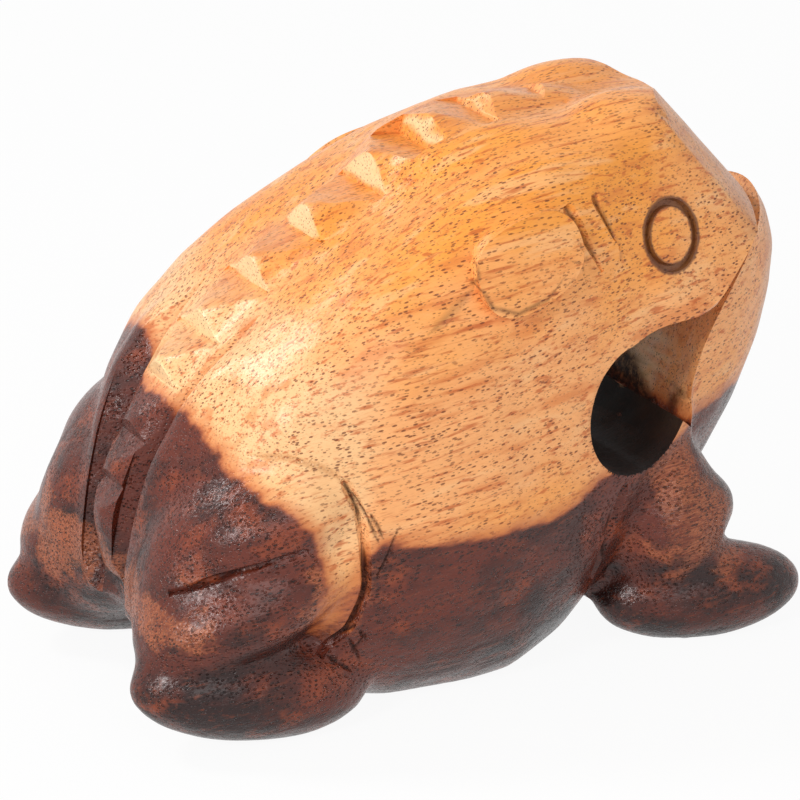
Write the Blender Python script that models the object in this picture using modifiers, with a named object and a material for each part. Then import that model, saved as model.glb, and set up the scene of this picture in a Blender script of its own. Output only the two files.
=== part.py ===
"""Frog guiro: a squatting frog carved from one block of wood, with a toothed keel along its back.

Run in Blender, metres, +Z up. +X is the way the frog looks, +Y is its left, and it squats on the
flat soles of its feet at Z = 0. The block is roughed out as overlapping round forms, sanded into
one skin, and then cut: the flat cheeks and snout, the mouth, the sound chamber, the teeth of the
keel, the eye rings and the grooves between the limbs.
"""
import math

import bmesh
import bpy
from mathutils import Matrix, Vector
from mathutils.bvhtree import BVHTree

MM = 0.001

# Block and sanding
BLOCK_HALF_WIDTH = 60 * MM
SANDING_GRID = 1.15 * MM
SANDING_PASSES = 7
SLIVER = 0.04 * MM
RING_POINTS = 40
DRILL_SEGMENTS = 48
FAR = 90.0
FINISHED_TRIANGLES = 11400
SHARP_ANGLE = math.radians(28)

# Trunk sections from the rump to the forehead: back point (x, z), belly point (x, z), half width
TRUNK_SECTIONS = [
    ((-48.0, 24.0), (-47.5, 13.0), 6.0),
    ((-48.0, 30.0), (-45.0, 9.5), 12.0),
    ((-46.0, 37.0), (-40.0, 7.0), 17.5),
    ((-42.0, 45.0), (-32.0, 3.0), 23.0),
    ((-35.7, 52.4), (-23.0, -1.0), 28.2),
    ((-28.2, 58.7), (-14.0, -3.0), 30.0),
    ((-19.8, 64.4), (-5.0, -3.5), 30.4),
    ((-9.9, 69.7), (5.0, -3.5), 29.6),
    ((0.6, 74.8), (13.8, 0.5), 27.6),
    ((10.3, 77.6), (22.0, 8.0), 25.2),
    ((20.0, 78.3), (30.0, 15.0), 22.8),
    ((29.0, 77.5), (37.0, 20.0), 20.0),
]
BACK_FULLNESS = 4.3
BELLY_FULLNESS = 3.0

# Throat, jaw and head sections by height: (z, front x, half width)
THROAT_SECTIONS = [
    (15.0, 39.0, 12.0),
    (21.0, 45.0, 15.0),
    (31.0, 51.2, 17.5),
    (40.0, 55.0, 18.5),
    (48.0, 57.0, 19.0),
    (54.0, 57.4, 19.0),
    (59.0, 56.0, 19.0),
    (63.0, 53.4, 19.0),
    (70.0, 52.0, 18.0),
    (76.0, 46.0, 16.5),
    (79.0, 38.0, 12.0),
]
THROAT_CENTRE_X = 20 * MM
THROAT_FULLNESS = 2.1

# Upper head by height: (z, front x, half width), left full so that the cheek and face cuts shape it
HEAD_SECTIONS = [
    (46.5, 36.0, 20.0),
    (50.0, 39.5, 22.0),
    (54.0, 43.0, 22.6),
    (58.0, 47.0, 22.4),
    (62.0, 50.5, 21.6),
    (66.0, 51.0, 20.4),
    (70.0, 49.0, 18.8),
    (73.5, 45.0, 16.8),
    (76.5, 41.0, 14.4),
    (79.2, 37.0, 10.0),
]
HEAD_CENTRE_X = 30 * MM
HEAD_FULLNESS = 4.0

# Round forms on each side: centre (x, y, z), radii (x, y, z), turn about Z and pitch about Y in degrees
BROW = ((28.0, 8.5, 72.5), (14.5, 8.5, 9.0), -4.0, 0.0)
HAUNCH = ((-39.5, 16.5, 21.5), (13.5, 12.0, 17.0), 0.0, 22.0)
THIGH = ((-34.5, 17.8, 31.8), (15.5, 13.3, 9.5), 3.0, -26.0)
SHIN = ((-38.4, 20.5, 20.8), (17.8, 11.3, 8.2), 4.0, -23.0)
REAR_FOOT = ((-38.9, 22.2, 7.4), (18.2, 8.6, 7.6), 2.0, 9.0)
FORE_LEG = ((31.5, 15.0, 16.0), (9.5, 9.5, 15.0), 0.0, 0.0)
ELBOW = ((35.0, 17.0, 19.2), (7.4, 6.6, 6.0), 0.0, 0.0)
FORE_FOOT = ((36.4, 18.4, 6.2), (16.4, 8.0, 7.2), 9.0, 0.0)

# Rump ridges: the rear edges of the haunches, as crest points (x, y, z), with a valley beside the keel
RUMP_RIDGE = [
    (-33.0, 12.0, 54.6), (-38.6, 11.8, 51.4), (-43.4, 11.0, 46.0), (-47.4, 9.6, 38.2),
    (-50.0, 8.4, 29.0), (-51.4, 7.4, 20.0), (-50.6, 7.0, 13.0),
]
RIDGE_HALF_WIDTH = 4.6 * MM
RIDGE_HEIGHT = 5.0 * MM
RIDGE_FULLNESS = 2.0
VALLEY = [
    (-33.5, 9.0, 59.5), (-39.0, 8.4, 51.8), (-43.4, 7.4, 45.6), (-47.0, 6.2, 37.6),
    (-49.4, 5.4, 29.0), (-50.6, 4.8, 20.0), (-52.0, 4.6, 9.0),
]
VALLEY_HALF_WIDTH = 3.0 * MM
VALLEY_DEPTH = 4.4 * MM
VALLEY_END_SHARE = 0.2

# Head cuts
CHEEK_POINT = Vector((45.3, 16.5, 59.2)) * MM
CHEEK_NORMAL = Vector((0.26, 0.93, 0.26))
FACE_POINT = Vector((44.2, 0.0, 70.5)) * MM
FACE_SLOPE = math.radians(-48)
FACE_ROUNDNESS = 26 * MM
FACE_STEPS = 24

# Mouth: a drilled hole across the head and a sawn slot that opens forward and up
MOUTH_DRILL_D = 20 * MM
MOUTH_X = 23.2 * MM
MOUTH_Z = 38.4 * MM
LIP_LINE = [
    (20.0, 47.0), (24.0, 49.2), (29.0, 49.9), (33.5, 50.2), (37.0, 51.0), (40.0, 52.5), (42.6, 54.8),
    (44.8, 57.6), (48.0, 61.2), (60.0, 73.5),
]
JAW_LINE = [
    (34.2, 32.2), (35.8, 38.5), (37.6, 43.5), (40.6, 48.3), (44.6, 53.1), (48.8, 57.8), (74.0, 83.0),
]
CHEEK_STEP_LINE = [(18.0, 46.0), (19.4, 62.8), (15.9, 71.4), (27.0, 80.0), (40.0, 110.0)]

# Sound chamber: a blind bore from the mouth straight back into the belly
CHAMBER_D = 19.4 * MM
CHAMBER_DEPTH = 34 * MM

# Keel: a rounded ridge through the tooth tips, given as (x, z) from the rump to the forehead
TOOTH_TIPS = [
    (-52.3, 28.0), (-50.2, 34.6), (-46.8, 41.4), (-42.0, 49.4), (-35.4, 55.8),
    (-27.4, 62.6), (-18.7, 68.9), (-8.4, 75.2), (1.3, 79.6), (10.8, 81.4), (19.6, 81.6),
]
KEEL_START = (-50.5, 18.0)
KEEL_END = [(25.0, 80.2), (31.0, 76.0)]
KEEL_HALF_WIDTH = 6.3 * MM
KEEL_HEIGHT = 5.6 * MM
KEEL_FULLNESS = 1.6
TOOTH_HEIGHTS = [2.6, 2.8, 3.0, 3.4, 3.6, 3.9, 4.3, 5.2, 5.0, 3.6, 2.0]
TOOTH_RAKE = math.radians(40)
NOTCH_HALF_WIDTH = 6.6 * MM

# Eye rings, burnt in with a tube
EYE_X = 29.6 * MM
EYE_Z = 62.6 * MM
EYE_RING_D = 9.6 * MM
EYE_STEPS = 36

# Eye groove section: distance from the ring line and height over the cheek
EYE_GROOVE = [(0.7, 0.4), (0.7, 1.4), (-0.7, 1.4), (-0.7, 0.4), (-0.4, -0.7), (0.4, -0.7)]

# Gland pads: raised ovals behind the eyes, in side view
PAD_CENTRE = (3.0, 64.4)
PAD_LENGTH = 17.8 * MM
PAD_HEIGHT = 11.7 * MM
PAD_TILT = math.radians(17)
PAD_FULLNESS = 2.6
PAD_RISE = 1.8 * MM
PAD_DEPTH = 12 * MM

# Knife grooves on each side, in side view: points, width, and share of the width left at the end
GROOVES = [
    ([(16.0, 71.2), (17.2, 67.8), (19.5, 62.7)], 2.6, 0.2),
    ([(10.9, 70.6), (12.9, 66.3), (16.0, 60.5)], 2.8, 0.2),
    ([(20.5, 27.5), (18.5, 20.5), (16.0, 12.5)], 2.6, 0.8),
    ([(-27.4, 38.6), (-25.2, 33.9), (-24.4, 29.3), (-23.8, 21.5), (-26.1, 15.5), (-30.0, 11.8)], 2.0, 0.8),
    ([(-33.5, 29.6), (-37.6, 29.0), (-42.0, 27.8), (-46.6, 26.0), (-51.0, 23.8)], 2.0, 0.6),
]
GROOVE_STEPS = 5
GROOVE_START_SHARE = 0.5

# Wood
WOOD_COLOUR = (0.72, 0.40, 0.16, 1.0)
WOOD_ROUGHNESS = 0.35


def clear_scene():
    """Remove every object, so that the file holds the frog alone."""
    for item in list(bpy.data.objects):
        bpy.data.objects.remove(item, do_unlink=True)


def new_collection(name):
    """Make a collection in the scene."""
    group = bpy.data.collections.new(name)
    bpy.context.scene.collection.children.link(group)
    return group


def new_object(name, shape, group):
    """Turn a bmesh into an object in the given collection."""
    bmesh.ops.triangulate(shape, faces=[face for face in shape.faces if len(face.verts) == 4])
    bmesh.ops.recalc_face_normals(shape, faces=shape.faces)
    mesh = bpy.data.meshes.new(name)
    shape.to_mesh(mesh)
    shape.free()
    item = bpy.data.objects.new(name, mesh)
    group.objects.link(item)
    return item


def power(value, fullness):
    """Superellipse term: the sign of value with its size raised to 2 / fullness."""
    return math.copysign(abs(value) ** (2.0 / fullness), value)


def skin_rings(shape, rings):
    """Skin closed rings of equal point counts and cap both ends."""
    rows = [[shape.verts.new(point) for point in ring] for ring in rings]
    count = len(rows[0])
    for lower, upper in zip(rows, rows[1:]):
        for i in range(count):
            j = (i + 1) % count
            shape.faces.new((lower[i], lower[j], upper[j], upper[i]))
    shape.faces.new(rows[0])
    shape.faces.new(rows[-1])


def trunk(shape):
    """Trunk: sections that fan from the rump to the forehead."""
    rings = []
    for back, belly, half_width in TRUNK_SECTIONS:
        top = Vector((back[0], 0, back[1])) * MM
        bottom = Vector((belly[0], 0, belly[1])) * MM
        middle = (top + bottom) / 2
        rise = (top - bottom) / 2
        ring = []
        for i in range(RING_POINTS):
            angle = 2 * math.pi * i / RING_POINTS
            fullness = BACK_FULLNESS if math.sin(angle) > 0 else BELLY_FULLNESS
            side = power(math.cos(angle), fullness) * half_width * MM
            ring.append(middle + rise * power(math.sin(angle), fullness) + Vector((0, side, 0)))
        rings.append(ring)
    skin_rings(shape, rings)


def level_loft(shape, sections, centre_x, fullness):
    """A loft through level sections, each blunt in front and as long behind its centre."""
    rings = []
    for height, front, half_width in sections:
        reach = front * MM - centre_x
        ring = []
        for i in range(RING_POINTS):
            angle = 2 * math.pi * i / RING_POINTS
            x = centre_x + reach * power(math.cos(angle), fullness)
            y = half_width * MM * power(math.sin(angle), fullness)
            ring.append(Vector((x, y, height * MM)))
        rings.append(ring)
    skin_rings(shape, rings)


def round_form(shape, form):
    """One egg-shaped form and its mirror twin on the other side."""
    centre, radii, turn, pitch = form
    for side in (1, -1):
        place = Matrix.Translation(Vector((centre[0], centre[1] * side, centre[2])) * MM)
        place = place @ Matrix.Rotation(math.radians(turn) * side, 4, "Z")
        place = place @ Matrix.Rotation(math.radians(pitch), 4, "Y")
        place = place @ Matrix.Diagonal((*(Vector(radii) * MM), 1.0))
        bmesh.ops.create_uvsphere(shape, u_segments=32, v_segments=20, radius=1.0, matrix=place)


def crest_normals(outline, side=1):
    """A crest given as (x, z) or (x, y, z) points, as vectors, with the outward direction at each point."""
    crest = []
    for point in outline:
        across = side * point[1] if len(point) == 3 else 0
        crest.append(Vector((point[0], across, point[-1])) * MM)
    normals = []
    for i in range(len(crest)):
        run = crest[min(i + 1, len(crest) - 1)] - crest[max(i - 1, 0)]
        normals.append(Vector((-run.z, 0, run.x)).normalized())
    return crest, normals


def ridge(shape, outline, height, half_width, fullness, side=1):
    """A ridge whose crest runs through the outline."""
    crest, normals = crest_normals(outline, side)
    rings = []
    for point, normal in zip(crest, normals):
        middle = point - normal * height
        ring = []
        for i in range(RING_POINTS):
            angle = 2 * math.pi * i / RING_POINTS
            rise = normal * height * power(math.sin(angle), fullness)
            across = Vector((0, half_width * power(math.cos(angle), fullness), 0))
            ring.append(middle + rise + across)
        rings.append(ring)
    skin_rings(shape, rings)


def rough_block(group):
    """All the rough forms, sanded into one skin."""
    shape = bmesh.new()
    trunk(shape)
    level_loft(shape, THROAT_SECTIONS, THROAT_CENTRE_X, THROAT_FULLNESS)
    level_loft(shape, HEAD_SECTIONS, HEAD_CENTRE_X, HEAD_FULLNESS)
    ridge(shape, [KEEL_START] + TOOTH_TIPS + KEEL_END, KEEL_HEIGHT, KEEL_HALF_WIDTH, KEEL_FULLNESS)
    for side in (1, -1):
        ridge(shape, RUMP_RIDGE[::-1], RIDGE_HEIGHT, RIDGE_HALF_WIDTH, RIDGE_FULLNESS, side)
    for form in (BROW, HAUNCH, THIGH, SHIN, REAR_FOOT, FORE_LEG, ELBOW, FORE_FOOT):
        round_form(shape, form)
    block = new_object("frog_body", shape, group)
    skin = block.modifiers.new("one_skin", "REMESH")
    skin.mode = "VOXEL"
    skin.voxel_size = SANDING_GRID
    sanding = block.modifiers.new("sanding", "SMOOTH")
    sanding.factor = 0.5
    sanding.iterations = SANDING_PASSES
    apply_modifiers(block)
    return block


def apply_modifiers(item):
    """Replace an object's mesh by its evaluated mesh."""
    graph = bpy.context.evaluated_depsgraph_get()
    mesh = bpy.data.meshes.new_from_object(item.evaluated_get(graph))
    item.modifiers.clear()
    old = item.data
    item.data = mesh
    bpy.data.meshes.remove(old)


def boolean(item, tool, operation):
    """Cut, join or keep the overlap of an object with another one."""
    change = item.modifiers.new(tool.name, "BOOLEAN")
    change.operation = operation
    change.solver = "EXACT"
    change.use_hole_tolerant = True
    change.object = tool
    tool.hide_render = True
    tool.display_type = "WIRE"


def side_outline(name, outline, group, half_width=BLOCK_HALF_WIDTH):
    """A side-view outline, as (x, z) in millimetres, run straight across the block."""
    shape = bmesh.new()
    near = [shape.verts.new((x * MM, -half_width, z * MM)) for x, z in outline]
    far = [shape.verts.new((x * MM, half_width, z * MM)) for x, z in outline]
    count = len(outline)
    shape.faces.new(near)
    shape.faces.new(far)
    for i in range(count):
        j = (i + 1) % count
        shape.faces.new((near[i], near[j], far[j], far[i]))
    return new_object(name, shape, group)


def upper_head(group):
    """What stays of the head: flat cheeks that lean in, and a snout rounded in plan."""
    along = Vector((math.cos(FACE_SLOPE), 0, math.sin(FACE_SLOPE)))
    outward = Vector((-along.z, 0, along.x))
    axis = FACE_POINT - outward * FACE_ROUNDNESS
    turns = [math.pi * (i / FACE_STEPS - 0.5) for i in range(FACE_STEPS + 1)]
    outline = [
        axis + outward * FACE_ROUNDNESS * math.cos(turn) + Vector((0, FACE_ROUNDNESS * math.sin(turn), 0))
        for turn in turns
    ]
    back = outward * -3 * BLOCK_HALF_WIDTH
    outline = [outline[0] + back] + outline + [outline[-1] + back]
    length = along * 2 * BLOCK_HALF_WIDTH
    shape = bmesh.new()
    skin_rings(shape, [[point - length for point in outline], [point + length for point in outline]])
    for side in (1, -1):
        point = Vector((CHEEK_POINT.x, CHEEK_POINT.y * side, CHEEK_POINT.z))
        normal = Vector((CHEEK_NORMAL.x, CHEEK_NORMAL.y * side, CHEEK_NORMAL.z))
        geometry = shape.verts[:] + shape.edges[:] + shape.faces[:]
        cut = bmesh.ops.bisect_plane(shape, geom=geometry, plane_co=point, plane_no=normal, clear_outer=True)
        rim = [edge for edge in cut["geom_cut"] if isinstance(edge, bmesh.types.BMEdge)]
        bmesh.ops.contextual_create(shape, geom=rim)
    return new_object("upper_head", shape, group)


def cut_head(body, group):
    """Cut the cheeks, the snout and the mouth slot: all that is above the jaw and outside the head."""
    outline = JAW_LINE + [(FAR, JAW_LINE[-1][1]), (FAR, CHEEK_STEP_LINE[-1][1])] + CHEEK_STEP_LINE[::-1]
    waste = side_outline("head_waste", outline, group)
    keep = upper_head(group)
    below_lip = LIP_LINE + [(FAR, LIP_LINE[-1][1]), (FAR, 0.0), (LIP_LINE[0][0], 0.0)]
    lip = side_outline("lip_saw", below_lip, group)
    boolean(keep, lip, "DIFFERENCE")
    apply_modifiers(keep)
    boolean(waste, keep, "DIFFERENCE")
    apply_modifiers(waste)
    boolean(body, waste, "DIFFERENCE")


def drill_mouth(body, group):
    """The hole drilled across the mouth, and the blind bore behind it that makes the sound chamber."""
    shape = bmesh.new()
    across = Matrix.Translation((MOUTH_X, 0, MOUTH_Z)) @ Matrix.Rotation(math.pi / 2, 4, "X")
    bmesh.ops.create_cone(
        shape, cap_ends=True, segments=DRILL_SEGMENTS, radius1=MOUTH_DRILL_D / 2, radius2=MOUTH_DRILL_D / 2,
        depth=2 * BLOCK_HALF_WIDTH, matrix=across,
    )
    boolean(body, new_object("mouth_drill", shape, group), "DIFFERENCE")
    shape = bmesh.new()
    middle = Matrix.Translation((MOUTH_X - CHAMBER_DEPTH / 2, 0, MOUTH_Z))
    bmesh.ops.create_cone(
        shape, cap_ends=True, segments=DRILL_SEGMENTS, radius1=CHAMBER_D / 2, radius2=CHAMBER_D / 2,
        depth=CHAMBER_DEPTH, matrix=middle @ Matrix.Rotation(math.pi / 2, 4, "Y"),
    )
    boolean(body, new_object("chamber_drill", shape, group), "DIFFERENCE")


def blade_ring(point, across, out, half_width, depth):
    """Four points of a blade: wide across the skin and pointed into it."""
    wide = across * half_width
    deep = out * depth
    return [point + wide, point + deep, point - wide, point - deep]


def gouge_valleys(body, group):
    """Gouge the V-shaped valley between the keel and each rump ridge."""
    for side in (1, -1):
        shape = bmesh.new()
        crest, normals = crest_normals(VALLEY[::-1], side)
        rings = []
        for i, (point, normal) in enumerate(zip(crest, normals)):
            share = VALLEY_END_SHARE if i == 0 else 1.0
            half_width = VALLEY_HALF_WIDTH * share
            rings.append(blade_ring(point, Vector((0, 1, 0)), normal, half_width, VALLEY_DEPTH * share))
        skin_rings(shape, rings)
        boolean(body, new_object("valley_%s" % ("left" if side > 0 else "right"), shape, group), "DIFFERENCE")


def cut_teeth(body, group):
    """Notch the keel: a level tread from each tip to the foot of the next tooth's steep rear face."""
    crest, normals = crest_normals([KEEL_START] + TOOTH_TIPS + KEEL_END)
    tips = crest[1:1 + len(TOOTH_TIPS)]
    outward = normals[1:1 + len(TOOTH_TIPS)]
    for i in range(len(tips) - 1):
        riser = Matrix.Rotation(TOOTH_RAKE, 3, "Y") @ outward[i + 1]
        foot = tips[i + 1] - riser * TOOTH_HEIGHTS[i + 1] * MM
        clear = outward[i] * KEEL_HEIGHT * 2
        outline = [tips[i], foot, tips[i + 1], tips[i + 1] + riser * KEEL_HEIGHT, tips[i] + clear]
        outline = [(point.x / MM, point.z / MM) for point in outline]
        boolean(body, side_outline("notch_%02d" % i, outline, group, NOTCH_HALF_WIDTH), "DIFFERENCE")


def add_pads(body, group):
    """Raised gland pads: the body's own skin, lifted inside an oval on each side."""
    lifted = body.copy()
    lifted.data = body.data.copy()
    lifted.name = "pads"
    group.objects.link(lifted)
    lift = lifted.modifiers.new("lift", "DISPLACE")
    lift.mid_level = 0.0
    lift.strength = PAD_RISE
    shape = bmesh.new()
    for side in (1, -1):
        ring = []
        for i in range(RING_POINTS):
            angle = 2 * math.pi * i / RING_POINTS
            x = PAD_LENGTH / 2 * power(math.cos(angle), PAD_FULLNESS)
            z = PAD_HEIGHT / 2 * power(math.sin(angle), PAD_FULLNESS)
            ring.append(Matrix.Rotation(-PAD_TILT, 3, "Y") @ Vector((x, 0, z)))
        centre = Vector((PAD_CENTRE[0] * MM, 0, PAD_CENTRE[1] * MM))
        inner = [point + centre + Vector((0, side * PAD_DEPTH, 0)) for point in ring]
        outer = [point + centre + Vector((0, side * BLOCK_HALF_WIDTH, 0)) for point in ring]
        skin_rings(shape, [inner, outer])
    boolean(lifted, new_object("pad_outline", shape, group), "INTERSECT")
    apply_modifiers(lifted)
    boolean(body, lifted, "UNION")


def skin_under(tree, x, z, side):
    """The carved skin at (x, z) in side view, in millimetres, on one side: the point and the way it faces."""
    origin = Vector((x * MM, side * BLOCK_HALF_WIDTH, z * MM))
    return tree.ray_cast(origin, Vector((0, -side, 0)))[:2]


def knife_groove(name, path, width, end_share, group):
    """A blade swept along the skin, so that it leaves a V-shaped groove that narrows towards its end."""
    last = len(path) - 1
    rings = []
    for i, (point, out) in enumerate(path):
        run = path[min(i + 1, last)][0] - path[max(i - 1, 0)][0]
        share = GROOVE_START_SHARE if i == 0 else 1.0 + (end_share - 1.0) * i / last
        half_width = width / 2 * share
        rings.append(blade_ring(point, run.cross(out).normalized(), out, half_width, half_width))
    shape = bmesh.new()
    skin_rings(shape, rings)
    return new_object(name, shape, group)


def cut_grooves(body, group):
    """Knife grooves behind the cheeks and between the limbs, on both sides."""
    graph = bpy.context.evaluated_depsgraph_get()
    tree = BVHTree.FromObject(body, graph)
    for i, (outline, width, end_share) in enumerate(GROOVES):
        for side in (1, -1):
            path = []
            for (x0, z0), (x1, z1) in zip(outline, outline[1:]):
                for step in range(GROOVE_STEPS):
                    share = step / GROOVE_STEPS
                    path.append(skin_under(tree, x0 + (x1 - x0) * share, z0 + (z1 - z0) * share, side))
            path.append(skin_under(tree, *outline[-1], side))
            name = "groove_%d_%s" % (i, "left" if side > 0 else "right")
            boolean(body, knife_groove(name, path, width * MM, end_share, group), "DIFFERENCE")


def burn_eyes(body, group):
    """Ring grooves for the eyes, square to the cheeks."""
    body.modifiers.new("triangles", "TRIANGULATE")
    normal = CHEEK_NORMAL.normalized()
    for side in (1, -1):
        reach = (normal.dot(CHEEK_POINT) - normal.x * EYE_X - normal.z * EYE_Z) / normal.y
        centre = Vector((EYE_X, side * reach, EYE_Z))
        facing = Vector((normal.x, side * normal.y, normal.z)).to_track_quat("Z", "Y").to_matrix().to_4x4()
        section = [Vector((EYE_RING_D / 2 + across * MM, 0, height * MM)) for across, height in EYE_GROOVE]
        shape = bmesh.new()
        rows = []
        for i in range(EYE_STEPS):
            turn = Matrix.Rotation(2 * math.pi * i / EYE_STEPS, 3, "Z")
            rows.append([shape.verts.new(turn @ point) for point in section])
        for row, following in zip(rows, rows[1:] + rows[:1]):
            for j in range(len(section)):
                k = (j + 1) % len(section)
                shape.faces.new((row[j], row[k], following[k], following[j]))
        bmesh.ops.transform(shape, matrix=Matrix.Translation(centre) @ facing, verts=shape.verts)
        name = "eye_ring_%s" % ("left" if side > 0 else "right")
        boolean(body, new_object(name, shape, group), "DIFFERENCE")


def flatten_soles(body, group):
    """Plane the soles flat at Z = 0."""
    outline = [(-FAR, -FAR), (FAR, -FAR), (FAR, 0.0), (-FAR, 0.0)]
    boolean(body, side_outline("sole_plane", outline, group), "DIFFERENCE")


def centre_on_origin(body):
    """Slide the frog along X so that the middle of its length is over the origin."""
    reach = [vertex.co.x for vertex in body.data.vertices]
    body.data.transform(Matrix.Translation((-(min(reach) + max(reach)) / 2, 0, 0)))


def wood():
    """The colour and finish of the varnished wood."""
    material = bpy.data.materials.new("varnished_wood")
    material.use_nodes = True
    shader = material.node_tree.nodes["Principled BSDF"]
    shader.inputs["Base Color"].default_value = WOOD_COLOUR
    shader.inputs["Roughness"].default_value = WOOD_ROUGHNESS
    shader.inputs["Metallic"].default_value = 0.0
    return material


def main():
    """Rough out, sand, cut and finish the frog."""
    clear_scene()
    parts = new_collection("frog_guiro")
    cutters = new_collection("cutters")
    body = rough_block(parts)
    add_pads(body, cutters)
    cut_head(body, cutters)
    drill_mouth(body, cutters)
    gouge_valleys(body, cutters)
    cut_teeth(body, cutters)
    flatten_soles(body, cutters)
    clean = body.modifiers.new("clean", "WELD")
    clean.merge_threshold = SLIVER
    apply_modifiers(body)
    burn_eyes(body, cutters)
    cut_grooves(body, cutters)
    apply_modifiers(body)
    body.data.materials.clear()
    body.data.materials.append(wood())
    slim = body.modifiers.new("slim", "DECIMATE")
    slim.ratio = FINISHED_TRIANGLES / sum(len(face.vertices) - 2 for face in body.data.polygons)
    apply_modifiers(body)
    centre_on_origin(body)
    body.data.shade_smooth()
    body.data.set_sharp_from_angle(angle=SHARP_ANGLE)


main()
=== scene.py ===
"""Looks for the carved frog guiro: fine carving, burnt knife cuts, varnished and scorched wood, studio."""

import math

import bmesh
import bpy
import numpy as np
from bpy.props import FloatProperty, FloatVectorProperty, PointerProperty
from bpy.types import Operator, Panel, PropertyGroup
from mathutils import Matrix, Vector, noise
from mathutils.bvhtree import BVHTree


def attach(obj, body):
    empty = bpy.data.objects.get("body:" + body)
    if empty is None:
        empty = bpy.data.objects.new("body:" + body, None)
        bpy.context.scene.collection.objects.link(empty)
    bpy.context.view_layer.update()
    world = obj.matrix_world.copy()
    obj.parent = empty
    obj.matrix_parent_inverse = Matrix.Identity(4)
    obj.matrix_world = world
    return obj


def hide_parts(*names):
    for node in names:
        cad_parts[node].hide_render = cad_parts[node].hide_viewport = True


bl_info = {
    "name": "Frog Guiro",
    "version": (1, 0, 0),
    "blender": (4, 5, 0),
    "location": "View3D > Sidebar > Frog Guiro",
    "description": "Fine carving, scorched varnish and a studio for a wooden frog guiro",
    "category": "Object",
}

MM = 0.001

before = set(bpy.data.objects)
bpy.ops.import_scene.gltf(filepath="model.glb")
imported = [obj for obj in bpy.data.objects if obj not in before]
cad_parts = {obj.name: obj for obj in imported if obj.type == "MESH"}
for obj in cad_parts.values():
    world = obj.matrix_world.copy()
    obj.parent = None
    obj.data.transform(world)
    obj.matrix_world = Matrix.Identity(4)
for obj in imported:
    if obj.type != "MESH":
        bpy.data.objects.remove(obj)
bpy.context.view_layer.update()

# Where the torch stopped, in side view: wood ahead of and above this line is pale, the rest is scorched.
# Many points here and in the knife cuts are places picked in the photo, which a script cast onto the solid
SCORCH_LINE = [
    (90.0, 36.0), (50.0, 35.0), (47.9, 34.2), (43.3, 33.8), (39.3, 33.2), (34.0, 32.8), (29.3, 30.7),
    (23.0, 29.6), (14.7, 29.4), (10.9, 27.2), (6.0, 26.1), (-3.1, 25.6), (-11.6, 26.1), (-18.0, 27.2),
    (-22.0, 28.0), (-24.2, 26.0), (-25.0, 21.5), (-26.5, 16.5), (-29.5, 15.5), (-32.2, 18.5),
    (-32.2, 21.5), (-31.2, 24.8), (-31.4, 26.6), (-32.4, 28.8), (-33.6, 31.9), (-35.4, 34.0),
    (-37.8, 36.1), (-40.0, 37.8), (-41.2, 39.3), (-42.2, 42.2), (-43.4, 44.8), (-46.0, 49.0), (-60.0, 68.0),
]

# The scorch reaches higher on the far side of the rump, and it fades softly below the knee, in millimetres
FAR_RISE = 6.0
FAR_RISE_Y = (4.0, 10.0)
FAR_RISE_X = (-20.0, -28.0)
KNEE_REAR_X = (-33.5, -32.0)
KNEE_FRONT_X = (-23.5, -24.5)
KNEE_Z = (26.0, 22.0)
KNEE_SOFTNESS = 0.75

# Edge length of the mesh near the scorch line, in millimetres
SCORCH_MESH = 0.8

# Knife cuts in side view: points (x, z), half width and depth in millimetres, how burnt the cut is
KNIFE_CUTS = [
    ([(10.4, 70.9), (12.4, 66.6), (15.8, 60.3)], 0.5, 0.0, 0.75),
    ([(15.5, 71.5), (16.8, 67.9), (19.3, 62.5)], 0.5, 0.0, 0.75),
    ([(-39.0, 42.0), (-34.6, 42.1), (-31.2, 40.9), (-28.5, 39.3), (-26.4, 36.4)], 0.45, 0.5, 0.25),
    ([(-27.7, 38.6), (-26.4, 36.2), (-25.5, 33.9), (-24.9, 30.0)], 0.35, 0.2, 0.9),
    ([(-24.9, 30.0), (-24.6, 27.0), (-24.2, 21.5), (-26.4, 15.8), (-30.0, 11.8)], 0.45, 0.4, 1.0),
    ([(-26.6, 37.0), (-24.8, 33.6), (-23.6, 31.0), (-22.2, 27.6)], 0.26, 0.3, 1.0),
    ([(-24.0, 33.2), (-22.8, 31.2), (-21.6, 28.3)], 0.26, 0.3, 1.0),
    ([(-19.8, 30.2), (-20.8, 27.6), (-22.0, 24.8), (-23.4, 21.9)], 0.28, 0.3, 1.0),
    ([(-25.2, 16.3), (-26.2, 15.4), (-27.4, 14.6)], 0.26, 0.3, 1.0),
    ([(-24.9, 15.4), (-24.3, 14.4), (-23.5, 13.2)], 0.26, 0.3, 1.0),
    ([(-26.2, 14.0), (-25.4, 12.3), (-24.7, 10.6)], 0.26, 0.3, 1.0),
    ([(-25.4, 12.8), (-24.6, 11.2), (-23.8, 9.2)], 0.26, 0.3, 1.0),
    ([(-23.6, 14.6), (-24.4, 13.2), (-25.6, 11.6)], 0.26, 0.3, 1.0),
    ([(-29.1, 11.8), (-26.8, 9.9), (-24.5, 8.2)], 0.3, 0.3, 1.0),
    ([(-38.3, 28.8), (-41.1, 28.0), (-46.2, 26.4), (-50.0, 24.0)], 0.4, 0.3, 0.5),
    ([(17.8, 24.8), (17.1, 20.7), (17.6, 16.4), (19.2, 13.5)], 0.4, 0.3, 1.0),
    ([(9.0, 63.9), (12.2, 62.6), (15.0, 62.9)], 0.2, 0.15, 0.6),
    ([(7.6, 60.6), (11.2, 61.8), (14.2, 64.0)], 0.2, 0.15, 0.6),
    ([(10.5, 66.8), (12.0, 63.2), (12.4, 59.6)], 0.2, 0.15, 0.6),
    ([(-6.2, 62.4), (-8.7, 60.4), (-12.1, 58.2), (-14.6, 56.8)], 0.7, 0.15, 0.4),
    ([(-5.6, 66.4), (-6.3, 63.0), (-4.6, 59.9), (-0.6, 58.4), (4.6, 59.5), (8.6, 62.6)], 0.35, 0.0, 0.7),
]

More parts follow.
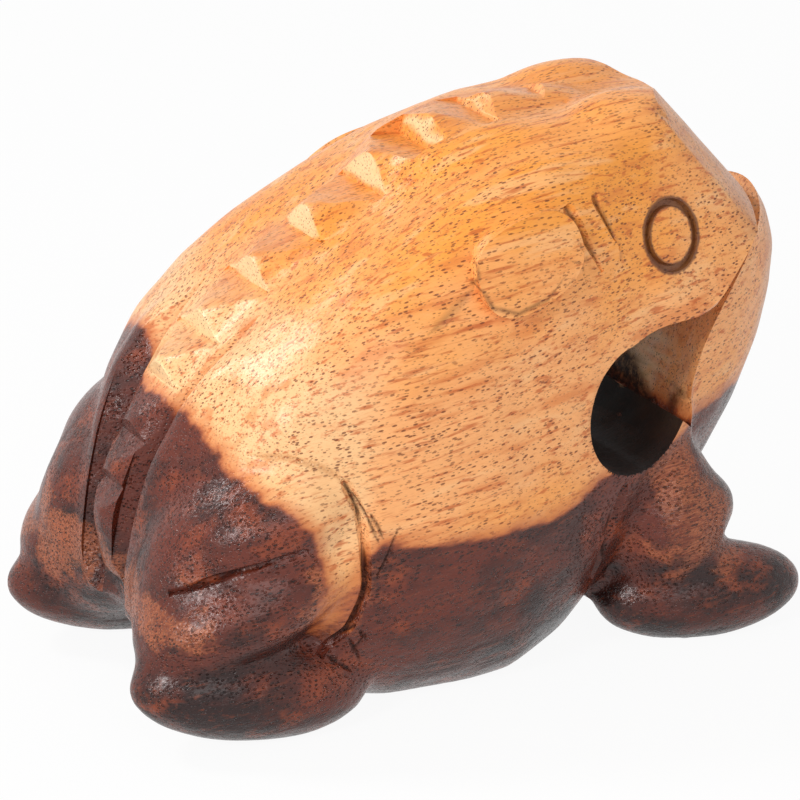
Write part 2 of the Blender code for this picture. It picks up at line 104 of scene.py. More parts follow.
# Where the paler sapwood shows and where the scorch is thin, in side view: centre (x, z) and reach, in
# millimetres
SAPWOOD = [((-33.0, 47.0), 15.0), ((-29.0, 33.0), 9.0)]
THIN_SCORCH = [((34.0, 19.0), 9.0), ((31.0, 28.0), 6.0), ((-29.0, 22.0), 6.0), ((-52.0, 20.0), 5.0)]

# A smear of soot on the jaw, and where the jaw's inner wall is painted dark, partly soot and partly painted
# shadow, in millimetres
SOOT_SMEAR = [(34.2, -13.0, 33.7), (35.6, -14.9, 38.7)]
JAW_WALL_X = 29.0
JAW_WALL_Z = (28.0, 52.0)
SOOT_AND_SHADOW_TOP_Z = 38.6
SOOT_AND_SHADOW_SLOPE = 0.6
SOOT_AND_SHADOW_LEFT_Z = 36.0
SOOT_AND_SHADOW_FADE = 2.2

# The drilled mouth, a limit some way behind the sound chamber, the keel and the eye rings, in millimetres
MOUTH_X = 22.9
MOUTH_Z = 38.4
MOUTH_RADIUS = 10.0
CHAMBER_LIMIT_X = -20.0
KEEL_Y = (8.0, 6.0)
KEEL_BOTTOM_Z = 30.0
EYE_CENTRE = (29.3, 19.94, 62.6)
EYE_NORMAL = (0.26, 0.93, 0.26)
EYE_RING_D = 9.6

# The camera, in millimetres and degrees
CAMERA_TARGET = (-13.47, -18.46, 44.38)
CAMERA_AZIMUTH = -27.5
CAMERA_ELEVATION = 20.3
CAMERA_DISTANCE = 630.0
CAMERA_LENS = 202.5
CAMERA_SENSOR = 36.0

# Places and sizes of the square softboxes, and the point that they face, in metres
KEY_BOX = (-0.72, -0.4, 0.42), 0.16
TOP_BOX = (-0.45, 0.38, 0.66), 0.18
FILL_BOX = (-0.2, -0.95, 0.5), 0.6
LAMP_TARGET = (0.0, 0.0, 0.04)


def linear(red, green, blue):
    """A screen colour from 0 to 255 as the linear numbers that a material takes."""
    return tuple(((c / 255 + 0.055) / 1.055) ** 2.4 if c > 10 else c / 3295 for c in (red, green, blue))


# Fixed colours of the pale wood
CREAM = linear(252, 196, 138)
SAP = linear(247, 196, 140)
RUST_BAND = linear(216, 118, 52)
DARK_STREAK = linear(192, 90, 34)
FIBRE = linear(204, 114, 54)
END_GRAIN = linear(196, 130, 84)
# Painted highlight on the tooth faces turned back towards the key light, and painted shade on the rest of the
# teeth
PAINTED_TOOTH_HIGHLIGHT = linear(253, 216, 160)
PAINTED_TOOTH_SHADE = linear(214, 128, 56)

# Fixed colours of the scorch and the burns, and of the painted shade in the drilled mouth and on the jaw's
# inner wall
EMBER = linear(150, 68, 36)
THIN_LIGHT = linear(176, 102, 66)
THIN_DARK = linear(122, 58, 36)
SCORCHED_STREAK = linear(128, 62, 36)
SCORCHED_PORE = linear(24, 10, 8)
OUTER_FRINGE = linear(206, 120, 66)
INNER_FRINGE = linear(168, 88, 52)
CHARRED_AND_SHADOW = linear(40, 18, 10)
BRANDED = linear(92, 48, 26)
BURNT_AND_SHADED_BORE = linear(16, 6, 3)


class FrogCarving(PropertyGroup):
    """Sizes of the fine carving."""

    grain: FloatProperty(
        name="Carving mesh", description="Edge length of the mesh near a knife cut",
        default=0.3 * MM, min=0.1 * MM, max=2 * MM, unit="LENGTH", precision=5,
    )
    unevenness: FloatProperty(
        name="Unevenness", description="How far the knife wandered off the smooth form",
        default=0.16 * MM, min=0.0, max=1 * MM, unit="LENGTH", precision=5,
    )
    facet: FloatProperty(
        name="Facet size", description="Usual length of one stroke of the knife",
        default=9 * MM, min=2 * MM, max=40 * MM, unit="LENGTH", precision=4,
    )


class FrogFinish(PropertyGroup):
    """Colours and gloss of the wood."""

    peach: FloatVectorProperty(
        name="Pale wood", description="Colour of the flanks", subtype="COLOR", size=3,
        default=linear(250, 176, 112), min=0.0, max=1.0,
    )
    honey: FloatVectorProperty(
        name="Honey wood", description="Colour of the back and head", subtype="COLOR", size=3,
        default=linear(248, 160, 66), min=0.0, max=1.0,
    )
    pore: FloatVectorProperty(
        name="Pores", description="Colour of the pores", subtype="COLOR", size=3,
        default=linear(118, 54, 20), min=0.0, max=1.0,
    )
    scorched: FloatVectorProperty(
        name="Scorched wood", description="Colour of the scorched legs and belly", subtype="COLOR", size=3,
        default=linear(100, 42, 28), min=0.0, max=1.0,
    )
    soot: FloatVectorProperty(
        name="Soot", description="Colour of the darkest scorch", subtype="COLOR", size=3,
        default=linear(42, 20, 18), min=0.0, max=1.0,
    )
    roughness: FloatProperty(
        name="Roughness", description="Roughness of the varnish", subtype="FACTOR",
        default=0.29, min=0.0, max=1.0,
    )


class FrogStudio(PropertyGroup):
    """Light of the studio."""

    key: FloatProperty(
        name="Key light", description="Power of the softbox beside the frog's rump", unit="POWER",
        default=3.3, min=0.0, max=200.0,
    )
    top: FloatProperty(
        name="Top light", description="Power of the softbox above and behind", unit="POWER",
        default=3.0, min=0.0, max=200.0,
    )
    fill: FloatProperty(
        name="Fill light", description="Power of the large softbox beside the camera", unit="POWER",
        default=2.5, min=0.0, max=200.0,
    )
    sky: FloatProperty(
        name="Room light", description="Strength of the white room", default=0.44, min=0.0, max=5.0,
    )
    floor: FloatVectorProperty(
        name="Floor", description="Colour of the floor", subtype="COLOR", size=3,
        default=(0.86, 0.86, 0.86), min=0.0, max=1.0,
    )


def deselect():
    """Leave object mode with nothing selected."""
    if bpy.context.object and bpy.context.object.mode != "OBJECT":
        bpy.ops.object.mode_set(mode="OBJECT")
    bpy.ops.object.select_all(action="DESELECT")


def pick(item):
    """Make one object the only selected and active one."""
    deselect()
    item.select_set(True)
    bpy.context.view_layer.objects.active = item


def node_copy(node, name):
    """A merged copy of a CAD node, with one vertex at each place and no normals of its own."""
    pick(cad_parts[node])
    bpy.ops.object.duplicate(linked=False)
    item = bpy.context.view_layer.objects.active
    item.name = name
    item.data.name = name
    item.data.materials.clear()
    bpy.ops.mesh.customdata_custom_splitnormals_clear()
    bpy.ops.object.mode_set(mode="EDIT")
    bpy.ops.mesh.select_all(action="SELECT")
    bpy.ops.mesh.remove_doubles(threshold=0.002 * MM)
    bpy.ops.object.mode_set(mode="OBJECT")
    for key in [key for key in item.keys() if key.startswith("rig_")]:
        del item[key]
    return item


def crease_sharp_edges(mesh, angle):
    """Crease the edges of the saw and drill cuts, so that subdivision keeps them crisp."""
    shape = bmesh.new()
    shape.from_mesh(mesh)
    crease = shape.edges.layers.float.get("crease_edge") or shape.edges.layers.float.new("crease_edge")
    for edge in shape.edges:
        if len(edge.link_faces) == 2 and edge.calc_face_angle() > angle:
            edge[crease] = 1.0
    shape.to_mesh(mesh)
    shape.free()


def positions(mesh):
    """The mesh's points as an array, in millimetres."""
    flat = np.empty(len(mesh.vertices) * 3)
    mesh.vertices.foreach_get("co", flat)
    return flat.reshape(-1, 3) / MM


def normals(mesh):
    """The mesh's point normals as an array."""
    flat = np.empty(len(mesh.vertices) * 3)
    mesh.vertex_normals.foreach_get("vector", flat)
    return flat.reshape(-1, 3)


def fade(values, start, end):
    """0 up to start, 1 from end on, straight between them."""
    return np.clip((values - start) / (end - start), 0, 1)


def along(points, line):
    """Distance of each point to a polyline, and the share of the line's length that lies before it."""
    line = np.array(line, float)
    steps = np.linalg.norm(np.diff(line, axis=0), axis=1)
    start = np.concatenate(([0.0], np.cumsum(steps)))
    best = np.full(len(points), 1e9)
    share = np.zeros(len(points))
    for i in range(len(line) - 1):
        run = line[i + 1] - line[i]
        t = np.clip((points - line[i]) @ run / (run @ run), 0, 1)
        gap = np.linalg.norm(points - line[i] - t[:, None] * run, axis=1)
        near = gap < best
        best[near] = gap[near]
        share[near] = (start[i] + t[near] * steps[i]) / start[-1]
    return best, share


def cut_paths(item):
    """Each knife cut laid on the skin of both sides, as points in millimetres."""
    tree = BVHTree.FromObject(item, bpy.context.evaluated_depsgraph_get())
    paths = []
    for outline, half_width, depth, darkening in KNIFE_CUTS:
        for side in (1, -1):
            path = []
            for (x0, z0), (x1, z1) in zip(outline, outline[1:]):
                for step in range(4):
                    x = x0 + (x1 - x0) * step / 4
                    z = z0 + (z1 - z0) * step / 4
                    hit = tree.ray_cast(Vector((x, 60 * side, z)) * MM, Vector((0, -side, 0)))[0]
                    if hit is not None:
                        path.append(np.array(hit) / MM)
            if len(path) > 2:
                paths.append((path, half_width, depth, darkening))
    return paths


def refine(mesh, paths, length):
    """Split the edges near the knife cuts and the scorch line, so that cuts and colours are crisp there."""
    for _ in range(4):
        shape = bmesh.new()
        shape.from_mesh(mesh)
        bmesh.ops.triangulate(shape, faces=shape.faces[:])
        edges = shape.edges[:]
        ends = np.array([[edge.verts[0].co[:], edge.verts[1].co[:]] for edge in edges]) / MM
        size = np.linalg.norm(ends[:, 0] - ends[:, 1], axis=1)
        middle = ends.mean(1)
        close = np.zeros(len(edges), bool)
        for path, half_width, _, _ in paths:
            close |= along(middle, path)[0] < half_width * 2 + size * 0.5
        close &= size > length / MM * 1.4
        close |= (np.abs(scorch_depth(middle)) < 1.0 + size * 0.5) & (size > SCORCH_MESH)
        chosen = [edges[i] for i in np.flatnonzero(close)]
        if not chosen:
            shape.free()
            break
        bmesh.ops.subdivide_edges(shape, edges=chosen, cuts=1, use_grid_fill=False)
        bmesh.ops.triangulate(shape, faces=[face for face in shape.faces if len(face.verts) > 3])
        shape.to_mesh(mesh)
        shape.free()


def knife_wander(spot, facet):
    """Low unevenness of a hand-carved skin at a point, from -1 to 1."""
    return 0.65 * noise.noise(spot / facet) + 0.35 * noise.noise(spot / facet * 2.3 + Vector((7, 3, 1)))


def scorch_depth(points):
    """Signed distance to the scorch line in side view, in millimetres: positive on pale wood."""
    flat = points[:, [0, 2]]
    gap = along(flat, SCORCH_LINE)[0]
    outline = SCORCH_LINE + [(-60.0, 140.0), (90.0, 140.0)]
    inside = np.zeros(len(flat), bool)
    for (x0, z0), (x1, z1) in zip(outline, outline[1:] + outline[:1]):
        crosses = (z0 > flat[:, 1]) != (z1 > flat[:, 1])
        with np.errstate(divide="ignore", invalid="ignore"):
            at = x0 + (flat[:, 1] - z0) * (x1 - x0) / (z1 - z0)
        inside ^= crosses & (flat[:, 0] < at)
    depth = np.where(inside, gap, -gap)
    x, y, z = points.T
    depth -= FAR_RISE * fade(y, *FAR_RISE_Y) * fade(x, *FAR_RISE_X)
    knee = fade(z, *KNEE_Z) * fade(x, *KNEE_REAR_X) * fade(x, *KNEE_FRONT_X)
    return depth * (1 - KNEE_SOFTNESS * knee)


def in_bore(points):
    """Which points lie on the walls of the drilled mouth and of the chamber behind it."""
    x, y, z = points.T
    mouth = np.hypot(x - MOUTH_X, z - MOUTH_Z) < MOUTH_RADIUS + 0.05
    chamber = (np.hypot(y, z - MOUTH_Z) < MOUTH_RADIUS) & (x > CHAMBER_LIMIT_X) & (x < MOUTH_X)
    return mouth | chamber


def jaw_soot_and_shadow(points, outward):
    """How dark the jaw's inner wall is painted, partly soot and partly painted shadow: deep in the mouth and
    low, it is black.
    """
    x, y, z = points.T
    wall = (outward[:, 0] < -0.5) & (x > JAW_WALL_X) & (z > JAW_WALL_Z[0]) & (z < JAW_WALL_Z[1])
    deep = fade(z - SOOT_AND_SHADOW_SLOPE * y, SOOT_AND_SHADOW_TOP_Z, SOOT_AND_SHADOW_TOP_Z - SOOT_AND_SHADOW_FADE)
    left = fade(z, SOOT_AND_SHADOW_LEFT_Z, SOOT_AND_SHADOW_LEFT_Z - SOOT_AND_SHADOW_FADE) * (y > 0)
    return np.maximum(deep, left) * wall


def store(mesh, name, values, domain="POINT"):
    """Keep one number for each point or face of the mesh, for the material to read."""
    layer = mesh.attributes.new(name, "FLOAT", domain)
    layer.data.foreach_set("value", np.asarray(values, np.float32))


def face_centres(mesh):
    """The middle of each face as an array, in millimetres."""
    flat = np.empty(len(mesh.polygons) * 3)
    mesh.polygons.foreach_get("center", flat)
    return flat.reshape(-1, 3) / MM


def carve_body(sizes):
    """The frog's skin, refined near its cuts, carved, and marked with its burns, with the painted shade in
    its mouth and on its jaw, and with its grain.
    """
    item = node_copy("frog_body", "frog_skin")
    crease_sharp_edges(item.data, math.radians(30))
    pick(item)
    smooth = item.modifiers.new("carved", "SUBSURF")
    smooth.levels = 1
    smooth.render_levels = 1
    bpy.ops.object.modifier_apply(modifier="carved")
    paths = cut_paths(item)
    refine(item.data, paths, sizes.grain)
    points = positions(item.data)
    outward = normals(item.data)
    push = np.array([knife_wander(Vector(p) * MM, sizes.facet) for p in points]) * sizes.unevenness / MM
    darkening = np.zeros(len(points))
    for path, half_width, depth, burnt in paths:
        gap, share = along(points, path)
        taper = np.clip(np.minimum(share, 1 - share) * 5, 0.25, 1)
        blade = np.clip(1 - gap / (half_width * 1.4 * taper), 0, 1)
        push -= depth * taper * blade
        darkening = np.maximum(darkening, burnt * blade)
    darkening = np.maximum(darkening, 0.7 * fade(along(points, SOOT_SMEAR)[0], 1.82, 0.52))
    # Painted shadow on the jaw's inner wall, partly soot: black deep in the mouth and low, where the flank's
    # shadow falls into it
    darkening = np.maximum(darkening, jaw_soot_and_shadow(points, outward))
    points = points + outward * push[:, None]
    points[:, 2] = np.maximum(points[:, 2], 0.0)
    item.data.vertices.foreach_set("co", (points * MM).ravel())
    store(item.data, "scorch", scorch_depth(points))
    store(item.data, "burn_and_jaw_shadow", darkening)
    store(item.data, "bore", in_bore(face_centres(item.data)), "FACE")
    # Which way each face turns along the body, for the end-grain colour and for the painted light and shade
    # on the teeth
    store(item.data, "facing_forward", outward[:, 0])
    store(item.data, "keel", fade(np.abs(points[:, 1]), *KEEL_Y) * (points[:, 2] > KEEL_BOTTOM_Z))
    item.data.update()
    pick(item)
    bpy.ops.object.shade_smooth_by_angle(angle=math.radians(34))
    return item


class Nodes:
    """Short calls to add and join shader nodes."""

    def __init__(self, tree):
        self.tree = tree

    def add(self, kind, inputs=None, **settings):
        """Add a node, set its options, and set or join its inputs by name or number."""
        made = self.tree.nodes.new(kind)
        for key, value in settings.items():
            setattr(made, key, value)
        for key, value in (inputs or {}).items():
            if isinstance(value, bpy.types.NodeSocket):
                self.tree.links.new(value, made.inputs[key])
            else:
                made.inputs[key].default_value = value
        return made

    def math(self, operation, *values, clamp=False):
        """A Math node's result."""
        made = self.add("ShaderNodeMath", dict(enumerate(values)), operation=operation, use_clamp=clamp)
        return made.outputs[0]

    def vector(self, operation, *values):
        """A Vector Math node."""
        return self.add("ShaderNodeVectorMath", dict(enumerate(values)), operation=operation)

    def stretched(self, place, scale):
        """The place in millimetres, scaled along and across the grain."""
        return self.add("ShaderNodeMapping", {"Vector": place, "Scale": scale}).outputs[0]

    def noise(self, place, scale, detail=3.0, rough=0.5):
        """Noise, from 0 to 1, on the place scaled along and across the grain."""
        made = self.add(
            "ShaderNodeTexNoise",
            {"Vector": self.stretched(place, scale), "Scale": 1.0, "Detail": detail, "Roughness": rough},
        )
        return made.outputs["Fac"]

    def ramp(self, value, low, high, new_low=0.0, new_high=1.0, smooth=True):
        """A value mapped from one range to another, held at the ends."""
        made = self.add(
            "ShaderNodeMapRange",
            {"Value": value, "From Min": low, "From Max": high, "To Min": new_low, "To Max": new_high},
            interpolation_type="SMOOTHSTEP" if smooth else "LINEAR",
        )
        return made.outputs["Result"]

    def attribute(self, name):
        """A number that is stored on the mesh."""
        return self.add("ShaderNodeAttribute", attribute_name=name).outputs["Fac"]

    def mix(self, share, first, second):
        """Two colours mixed by a share."""
        made = self.add("ShaderNodeMix", data_type="RGBA", clamp_factor=True)
        for socket, value in ((made.inputs[0], share), (made.inputs[6], first), (made.inputs[7], second)):
            if isinstance(value, bpy.types.NodeSocket):
                self.tree.links.new(value, socket)
            elif socket.type == "RGBA":
                socket.default_value = (*tuple(value)[:3], 1.0)
            else:
                socket.default_value = value
        return made.outputs[2]


def pores(nodes, grain, spacing, radius, edge=0.6):
    """Dark dashes along the grain: 1 inside a pore, 0 outside."""
    cells = nodes.add(
        "ShaderNodeTexVoronoi",
        {"Vector": nodes.stretched(grain, spacing), "Scale": 1.0, "Randomness": 1.0},
        feature="F1", voronoi_dimensions="3D",
    )
    return nodes.ramp(cells.outputs["Distance"], radius, radius * edge)


def eye_rings(nodes, place, smudge):
    """1 on the two burnt rings, 0 elsewhere."""
    spot = nodes.add("ShaderNodeSeparateXYZ", {0: place})
    mirrored = nodes.add(
        "ShaderNodeCombineXYZ",
        {0: spot.outputs["X"], 1: nodes.math("ABSOLUTE", spot.outputs["Y"]), 2: spot.outputs["Z"]},
    ).outputs[0]
    offset = nodes.vector("SUBTRACT", mirrored, tuple(c * MM for c in EYE_CENTRE)).outputs[0]
    axis = tuple(Vector(EYE_NORMAL).normalized())
    reach = nodes.vector("LENGTH", nodes.vector("CROSS_PRODUCT", offset, axis).outputs[0]).outputs["Value"]
    gap = nodes.math("ABSOLUTE", nodes.math("SUBTRACT", reach, EYE_RING_D / 2 * MM))
    ragged = nodes.ramp(smudge, 0.25, 0.75, -0.2 * MM, 0.2 * MM, smooth=False)
    ring = nodes.ramp(nodes.math("ADD", gap, ragged), 1.1 * MM, 0.65 * MM)
    near = nodes.ramp(nodes.vector("LENGTH", offset).outputs["Value"], 9 * MM, 8 * MM)
    return nodes.math("MULTIPLY", ring, near)


def patches(nodes, place, cloud, spots):
    """1 in ragged patches round some spots of the side view, 0 elsewhere."""
    spot = nodes.add("ShaderNodeSeparateXYZ", {0: place})
    side_view = nodes.add("ShaderNodeCombineXYZ", {0: spot.outputs["X"], 2: spot.outputs["Z"]}).outputs[0]
    share = 0.0
    for (x, z), reach in spots:
        gap = nodes.vector("DISTANCE", side_view, (x * MM, 0.0, z * MM)).outputs["Value"]
        ragged = nodes.math("ADD", gap, nodes.ramp(cloud, 0.3, 0.7, 4 * MM, -4 * MM, smooth=False))
        share = nodes.math("MAXIMUM", nodes.ramp(ragged, reach * MM, reach * MM * 0.45), share)
    return share


def pale_wood(nodes, place, grain, finish):
    """The bare wood's colour, its streaks and its pores."""
    height = nodes.add("ShaderNodeSeparateXYZ", {0: grain}).outputs["Z"]
    cloud = nodes.noise(grain, (0.035, 0.06, 0.06), 3.0)
    band = nodes.noise(grain, (0.03, 0.35, 0.35), 3.0, 0.55)
    streak = nodes.noise(grain, (0.14, 1.5, 1.5), 3.0, 0.6)
    fibre = nodes.noise(grain, (0.4, 5.0, 5.0), 2.0, 0.6)
    honeyed = nodes.math(
        "ADD", nodes.ramp(height, 44, 74, 0.0, 0.8), nodes.ramp(cloud, 0.35, 0.65, -0.3, 0.5), clamp=True,
    )
    wood = nodes.mix(honeyed, finish.peach, finish.honey)
    wood = nodes.mix(nodes.ramp(band, 0.46, 0.32, 0.0, 0.5), wood, CREAM)
    sapwood = nodes.math("MULTIPLY", patches(nodes, place, cloud, SAPWOOD), 0.85)
    wood = nodes.mix(sapwood, wood, SAP)
    wood = nodes.mix(nodes.ramp(band, 0.52, 0.7, 0.0, 0.6), wood, RUST_BAND)
    wood = nodes.mix(nodes.ramp(streak, 0.52, 0.68, 0.0, 0.75), wood, DARK_STREAK)
    wood = nodes.mix(nodes.ramp(fibre, 0.5, 0.8, 0.0, 0.4), wood, FIBRE)
    coarse = pores(nodes, grain, (0.62, 1.9, 1.9), 0.3)
    fine = pores(nodes, grain, (1.0, 3.0, 3.0), 0.27)
    crowd = nodes.noise(grain, (0.05, 0.14, 0.14), 2.0)
    dashes = nodes.math(
        "MAXIMUM", nodes.math("MULTIPLY", coarse, nodes.ramp(crowd, 0.35, 0.6, 0.55, 1.0)),
        nodes.math("MULTIPLY", fine, 0.55),
    )
    return wood, streak, fibre, dashes


def varnished_wood(finish):
    """Varnished pale wood with pores and streaks, scorched below the torch line, with burnt cuts, painted
    light and shade on the teeth, and painted shade in the drilled mouth and on the jaw's inner wall.
    """
    material = bpy.data.materials.new("varnished_scorched_wood")
    material.use_nodes = True
    tree = material.node_tree
    tree.nodes.clear()
    nodes = Nodes(tree)
    place = nodes.add("ShaderNodeTexCoord").outputs["Object"]
    grain = nodes.add(
        "ShaderNodeMapping",
        {"Vector": place, "Rotation": (0.0, math.radians(6), 0.0), "Scale": (1000.0, 1000.0, 1000.0)},
    ).outputs[0]
    scorch = nodes.attribute("scorch")
    burn_and_jaw_shadow = nodes.attribute("burn_and_jaw_shadow")
    bore = nodes.attribute("bore")
    facing_forward = nodes.attribute("facing_forward")
    keel = nodes.attribute("keel")
    wood, streak, fibre, dashes = pale_wood(nodes, place, grain, finish)
    wood = nodes.mix(nodes.ramp(facing_forward, 0.5, 0.8, 0.0, 0.5), wood, END_GRAIN)
    # Painted light on the teeth: faces turned back are painted paler as if lit, the other tooth faces darker
    # as if shaded
    painted_tooth_highlight = nodes.math("MULTIPLY", nodes.ramp(facing_forward, -0.7, -0.92, 0.0, 0.8), keel)
    wood = nodes.mix(painted_tooth_highlight, wood, PAINTED_TOOTH_HIGHLIGHT)
    painted_tooth_shade = nodes.math("MULTIPLY", nodes.ramp(facing_forward, -0.62, -0.35, 0.0, 0.35), keel)
    wood = nodes.mix(painted_tooth_shade, wood, PAINTED_TOOTH_SHADE)
    wood = nodes.mix(nodes.math("MULTIPLY", dashes, 0.85), wood, finish.pore)

    ragged = nodes.noise(grain, (0.1, 0.35, 0.35), 4.0, 0.6)
    edge = nodes.math("ADD", scorch, nodes.ramp(ragged, 0.25, 0.75, -0.9, 0.9, smooth=False))
    pale = nodes.ramp(edge, -0.55, 0.45)
    patch = nodes.noise(grain, (0.07, 0.12, 0.12), 3.0, 0.6)
    ember = nodes.noise(grain, (0.11, 0.19, 0.19), 4.0, 0.65)
    sooty = nodes.math(
        "ADD", nodes.ramp(edge, -4.0, -22.0, 0.0, 0.55), nodes.ramp(patch, 0.38, 0.66, -0.3, 0.7), clamp=True,
    )
    dark = nodes.mix(sooty, finish.scorched, finish.soot)
    dark = nodes.mix(nodes.ramp(ember, 0.5, 0.7, 0.0, 0.7), dark, EMBER)
    thin = nodes.math("MULTIPLY", patches(nodes, place, ember, THIN_SCORCH), 0.75)
    dark = nodes.mix(thin, dark, nodes.mix(nodes.ramp(fibre, 0.4, 0.65), THIN_LIGHT, THIN_DARK))
    dark = nodes.mix(nodes.ramp(streak, 0.54, 0.74, 0.0, 0.5), dark, SCORCHED_STREAK)
    dark = nodes.mix(nodes.math("MULTIPLY", dashes, 0.8), dark, SCORCHED_PORE)
    fringe = nodes.mix(nodes.ramp(edge, 0.2, 3.0, 0.85, 0.0), wood, OUTER_FRINGE)
    fringe = nodes.mix(nodes.ramp(edge, -0.2, 0.9, 1.0, 0.0), fringe, INNER_FRINGE)
    colour = nodes.mix(pale, dark, fringe)

    smudge = nodes.noise(grain, (0.9, 0.9, 0.9), 4.0, 0.65)
    # Burnt knife cuts, and the painted shadow on the jaw's inner wall, take the charred colour
    charred_and_shaded = nodes.math("MULTIPLY", burn_and_jaw_shadow, nodes.ramp(smudge, 0.25, 0.6, 0.6, 1.0))
    ring = eye_rings(nodes, place, smudge)
    burnt = nodes.math("MAXIMUM", nodes.math("MULTIPLY", ring, 0.85), charred_and_shaded)
    colour = nodes.mix(burnt, colour, nodes.mix(ring, CHARRED_AND_SHADOW, BRANDED))
    # Painted shade: the walls of the drilled mouth and the chamber are painted near black, partly burnt wood
    # and partly the shade deep inside the hole
    colour = nodes.mix(nodes.math("MULTIPLY", bore, 0.97), colour, BURNT_AND_SHADED_BORE)

    gouge = nodes.noise(grain, (0.1, 0.22, 0.22), 2.0)
    pits = pores(nodes, grain, (1.3, 2.2, 2.2), 0.4, 0.3)
    rugged = nodes.math("MULTIPLY", nodes.ramp(edge, 0.3, -1.0), nodes.ramp(ember, 0.4, 0.6, 0.15, 1.0))
    relief = nodes.math("MULTIPLY", streak, 0.10)
    relief = nodes.math("ADD", relief, nodes.math("MULTIPLY", fibre, 0.06))
    relief = nodes.math("ADD", relief, gouge)
    relief = nodes.math("SUBTRACT", relief, nodes.math("MULTIPLY", dashes, 0.14))
    for depth, bumps in ((0.9, pits), (0.35, smudge)):
        sunk = nodes.math("MULTIPLY", nodes.math("MULTIPLY", bumps, rugged), depth)
        relief = nodes.math("SUBTRACT", relief, sunk)
    bump = nodes.add("ShaderNodeBump", {"Height": relief, "Distance": 0.6 * MM, "Strength": 0.9}).outputs[0]
    gloss = nodes.math(
        "ADD", nodes.ramp(fibre, 0.3, 0.8, -0.04, 0.08),
        nodes.ramp(pale, 0.0, 1.0, finish.roughness - 0.04, finish.roughness + 0.04),
    )
    gloss = nodes.math("MAXIMUM", gloss, nodes.math("MAXIMUM", bore, burn_and_jaw_shadow))
    shader = nodes.add(
        "ShaderNodeBsdfPrincipled",
        {"Base Color": colour, "Roughness": gloss, "Normal": bump, "IOR": 1.5, "Specular IOR Level": 0.34,
         "Coat Weight": 0.1, "Coat Roughness": 0.22},
    )
    output = nodes.add("ShaderNodeOutputMaterial")
    tree.links.new(shader.outputs[0], output.inputs[0])
    return material


class FROG_OT_body(Operator):
    """Carve and varnish the frog"""

    bl_idname = "object.frog_guiro_body"
    bl_label = "Carve the Frog"

    def execute(self, context):
        scene = context.scene
        item = carve_body(scene.frog_carving)
        item.data.materials.append(varnished_wood(scene.frog_finish))
        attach(item, "root")
        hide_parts("frog_body")
        return {"FINISHED"}


def seen_directly(nodes):
    """1 for what is seen straight, in a reflection or through glass, 0 for what only gives light."""
    path = nodes.add("ShaderNodeLightPath")
    straight = nodes.math("MAXIMUM", path.outputs["Is Camera Ray"], path.outputs["Is Glossy Ray"])
    return nodes.math("MAXIMUM", straight, path.outputs["Is Transmission Ray"])


def studio_floor(studio):
    """A pale floor that keeps a faint shadow and shows white."""
    bpy.ops.mesh.primitive_plane_add(size=6.0, location=(0.0, 0.0, -0.02 * MM))
    floor = bpy.context.object
    floor.name = "floor"
    material = bpy.data.materials.new("pale_floor")
    material.use_nodes = True
    tree = material.node_tree
    tree.nodes.clear()
    nodes = Nodes(tree)
    seen = seen_directly(nodes)
    card = nodes.add("ShaderNodeBsdfDiffuse", {"Color": (*studio.floor, 1.0)})
    white = nodes.add("ShaderNodeEmission", {"Color": (1, 1, 1, 1), "Strength": 1.0})
    blend = nodes.add("ShaderNodeMixShader", {0: nodes.math("MULTIPLY", seen, 0.93)})
    tree.links.new(card.outputs[0], blend.inputs[1])
    tree.links.new(white.outputs[0], blend.inputs[2])
    tree.links.new(blend.outputs[0], nodes.add("ShaderNodeOutputMaterial").inputs[0])
    floor.data.materials.append(material)


def studio_room(scene, studio):
    """An even white room."""
    world = bpy.data.worlds.new("room")
    scene.world = world
    world.use_nodes = True
    tree = world.node_tree
    tree.nodes.clear()
    nodes = Nodes(tree)
    seen = seen_directly(nodes)
    strength = nodes.ramp(seen, 0.0, 1.0, studio.sky, 1.0, smooth=False)
    back = nodes.add("ShaderNodeBackground", {"Color": (1, 1, 1, 1), "Strength": strength})
    tree.links.new(back.outputs[0], nodes.add("ShaderNodeOutputWorld").inputs[0])


def softbox(name, box, power):
    """A square area light that faces the frog."""
    location, size = box
    bpy.ops.object.light_add(type="AREA", location=location)
    lamp = bpy.context.object
    lamp.name = name
    lamp.data.shape = "SQUARE"
    lamp.data.size = size
    lamp.data.energy = power
    lamp.rotation_euler = (Vector(LAMP_TARGET) - Vector(location)).to_track_quat("-Z", "Y").to_euler()


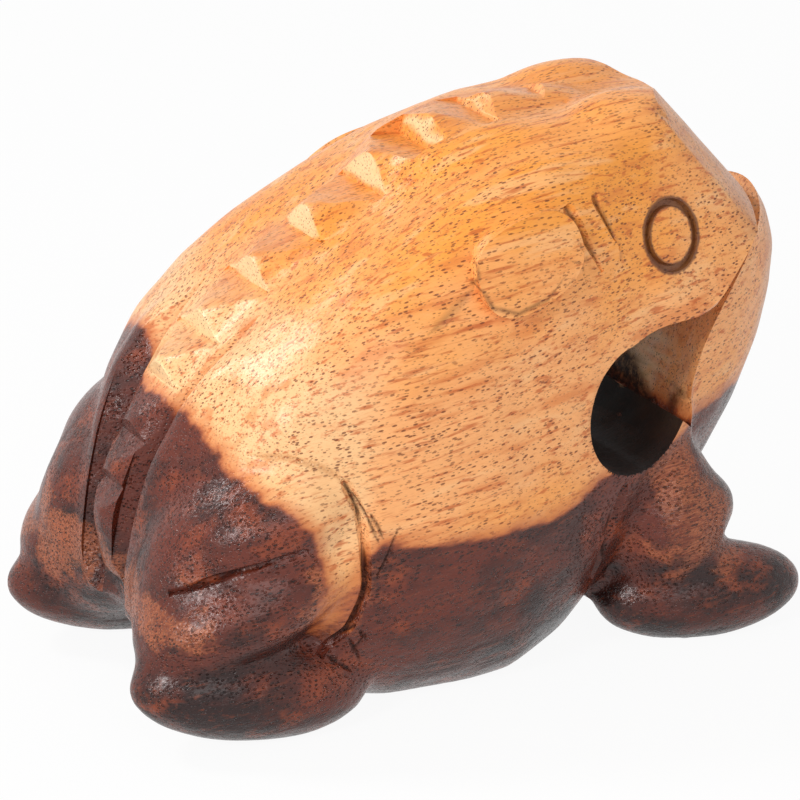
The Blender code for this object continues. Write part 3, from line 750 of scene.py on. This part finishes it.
def photo_camera(scene):
    """A long lens above and a little behind the frog's right side."""
    turn, rise = math.radians(CAMERA_AZIMUTH), math.radians(CAMERA_ELEVATION)
    back = Vector((math.sin(turn) * math.cos(rise), -math.cos(turn) * math.cos(rise), math.sin(rise)))
    bpy.ops.object.camera_add(location=(Vector(CAMERA_TARGET) + back * CAMERA_DISTANCE) * MM)
    camera = bpy.context.object
    camera.rotation_euler = (-back).to_track_quat("-Z", "Y").to_euler()
    camera.data.lens = CAMERA_LENS
    camera.data.sensor_width = CAMERA_SENSOR
    camera.data.clip_start = 0.05
    camera.data.clip_end = 20.0
    scene.camera = camera


class FROG_OT_stage(Operator):
    """Set up the floor, the room, the lights and the camera"""

    bl_idname = "object.frog_guiro_stage"
    bl_label = "Set Up the Studio"

    def execute(self, context):
        scene = context.scene
        studio = scene.frog_studio
        deselect()
        studio_floor(studio)
        studio_room(scene, studio)
        softbox("key", KEY_BOX, studio.key)
        softbox("top", TOP_BOX, studio.top)
        softbox("fill", FILL_BOX, studio.fill)
        photo_camera(scene)
        scene.view_settings.view_transform = "Standard"
        return {"FINISHED"}


class FROG_PT_panel(Panel):
    """The frog guiro's pieces"""

    bl_idname = "FROG_PT_panel"
    bl_label = "Frog Guiro"
    bl_space_type = "VIEW_3D"
    bl_region_type = "UI"
    bl_category = "Frog Guiro"

    def draw(self, context):
        scene = context.scene
        for group in (scene.frog_carving, scene.frog_finish, scene.frog_studio):
            box = self.layout.box()
            for name in group.bl_rna.properties.keys():
                if name not in ("rna_type", "name"):
                    box.prop(group, name)
        self.layout.operator(FROG_OT_body.bl_idname)
        self.layout.operator(FROG_OT_stage.bl_idname)


CLASSES = (FrogCarving, FrogFinish, FrogStudio, FROG_OT_body, FROG_OT_stage, FROG_PT_panel)


def register():
    """Add the classes and their settings."""
    for item in CLASSES:
        bpy.utils.register_class(item)
    bpy.types.Scene.frog_carving = PointerProperty(type=FrogCarving)
    bpy.types.Scene.frog_finish = PointerProperty(type=FrogFinish)
    bpy.types.Scene.frog_studio = PointerProperty(type=FrogStudio)


def unregister():
    """Take the classes and their settings away."""
    del bpy.types.Scene.frog_studio
    del bpy.types.Scene.frog_finish
    del bpy.types.Scene.frog_carving
    for item in reversed(CLASSES):
        bpy.utils.unregister_class(item)


def main():
    """Make the frog and the studio."""
    register()
    bpy.ops.object.frog_guiro_body()
    bpy.ops.object.frog_guiro_stage()


if __name__ == "__main__":
    main()
